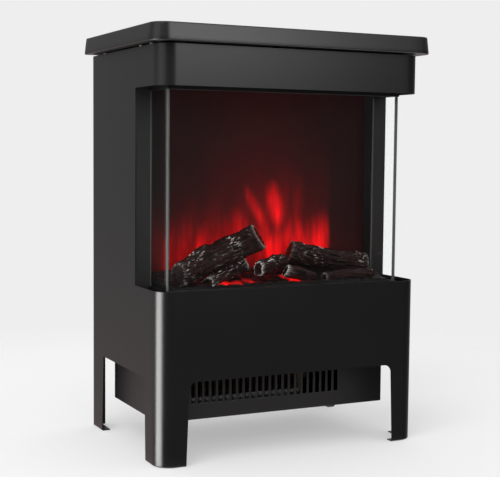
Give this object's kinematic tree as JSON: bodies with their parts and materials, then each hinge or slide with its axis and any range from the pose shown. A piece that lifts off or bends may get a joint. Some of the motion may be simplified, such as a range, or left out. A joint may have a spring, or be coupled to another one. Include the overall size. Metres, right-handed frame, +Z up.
{
  "type": "electric fireplace",
  "caption": "Free-standing electric stove with a three-sided glass firebox, log set and flicker flame screen, and a slotted fan heater box slung between four folded sheet-steel legs.",
  "frame": {"origin": "on the floor, under the middle of the whole object's plan", "axes": "+Z up; the glass front faces -Y; +X is to the right seen from the front"},
  "size_m": [0.455, 0.318, 0.62],
  "materials": {
    "black_coat": "satin black powder coat",
    "matt_coat": "matt black inner coat",
    "zinc_steel": "bright zinc plate",
    "clear_glass": "polished clear float glass",
    "screen_acrylic": "smoked gloss acrylic",
    "mirror_sheet": "bright rolled aluminium",
    "ember_resin": "clear tinted moulded resin",
    "log_resin": "painted moulded resin, charred bark",
    "black_plastic": "fine textured moulding",
    "red_plastic": "translucent red moulding",
    "lacquered_coil": "lacquered laminations",
    "cream_plastic": "moulded cream plastic",
    "mica_board": "pressed mica board",
    "circuit_board": "solder mask",
    "white_board": "white solder mask",
    "dark_rubber": "moulded rubber"
  },
  "bodies": {
    "cabinet": {"outer_shell": "black_coat", "top_cap": "black_coat", "top_plate": "matt_coat", "cap_spacers": "zinc_steel", "cap_screws": "zinc_steel", "back_panel": "matt_coat", "back_panel_screws": "zinc_steel", "side_post_left": "matt_coat", "side_post_right": "matt_coat", "firebox_floor": "matt_coat", "firebox_ceiling": "matt_coat", "upper_glass_rail": "black_coat", "lower_glass_rail": "black_coat", "front_glass": "clear_glass", "left_glass": "clear_glass", "right_glass": "clear_glass", "flame_screen": "screen_acrylic", "flame_mask": "mirror_sheet", "reflector_panel": "mirror_sheet", "flicker_motor": "cream_plastic", "flicker_motor_bracket": "zinc_steel", "flicker_end_bush": "cream_plastic", "flame_led_strip": "white_board", "ember_led_strip": "white_board", "ember_bed": "ember_resin", "main_log": "log_resin", "right_log": "log_resin", "centre_log": "log_resin", "left_branch": "log_resin", "front_chunk": "log_resin", "right_branch": "log_resin", "base_box": "black_coat", "base_box_screws": "zinc_steel", "blower_scroll": "zinc_steel", "blower_motor": "lacquered_coil", "blower_end_bush": "dark_rubber", "heating_element": "mirror_sheet", "element_frame": "mica_board", "outlet_lip": "mirror_sheet", "thermal_cutout": "mica_board", "control_board": "circuit_board", "control_plate": "black_plastic", "power_switch_body": "black_plastic", "low_heat_switch_body": "black_plastic", "high_heat_switch_body": "black_plastic", "thermostat_body": "cream_plastic", "dimmer_body": "cream_plastic", "terminal_block": "cream_plastic", "cable_gland": "black_plastic"},
    "flicker_rotor": {"flicker_rod": "zinc_steel", "flicker_vanes": "mirror_sheet"},
    "blower_rotor": {"blower_wheel": "mirror_sheet", "blower_shaft": "zinc_steel"},
    "power_button": {"power_rocker": "red_plastic"},
    "low_heat_button": {"low_heat_rocker": "black_plastic"},
    "high_heat_button": {"high_heat_rocker": "black_plastic"},
    "thermostat_control": {"thermostat_spindle": "zinc_steel", "thermostat_knob": "black_plastic"},
    "dimmer_control": {"dimmer_spindle": "zinc_steel", "dimmer_knob": "black_plastic"}
  },
  "joints": [
    {"name": "flicker_spin", "type": "hinge", "parent": "cabinet", "child": "flicker_rotor", "pos_m": [0, 0.038, 0.275], "axis": [1, 0, 0], "continuous": true},
    {"name": "blower_spin", "type": "hinge", "parent": "cabinet", "child": "blower_rotor", "pos_m": [-0.0525, 0.02, 0.105], "axis": [1, 0, 0], "continuous": true},
    {"name": "power_rock", "type": "hinge", "parent": "cabinet", "child": "power_button", "pos_m": [0.09, 0.144, 0.432], "axis": [1, 0, 0], "range_deg": [-16, 0]},
    {"name": "low_heat_rock", "type": "hinge", "parent": "cabinet", "child": "low_heat_button", "pos_m": [0.12, 0.144, 0.432], "axis": [1, 0, 0], "range_deg": [-16, 0]},
    {"name": "high_heat_rock", "type": "hinge", "parent": "cabinet", "child": "high_heat_button", "pos_m": [0.15, 0.144, 0.432], "axis": [1, 0, 0], "range_deg": [-16, 0]},
    {"name": "thermostat_turn", "type": "hinge", "parent": "cabinet", "child": "thermostat_control", "pos_m": [0.145, 0.15, 0.508], "axis": [0, -1, 0], "range_deg": [-135, 135]},
    {"name": "dimmer_turn", "type": "hinge", "parent": "cabinet", "child": "dimmer_control", "pos_m": [0.095, 0.15, 0.508], "axis": [0, -1, 0], "range_deg": [-135, 135]}
  ]
}
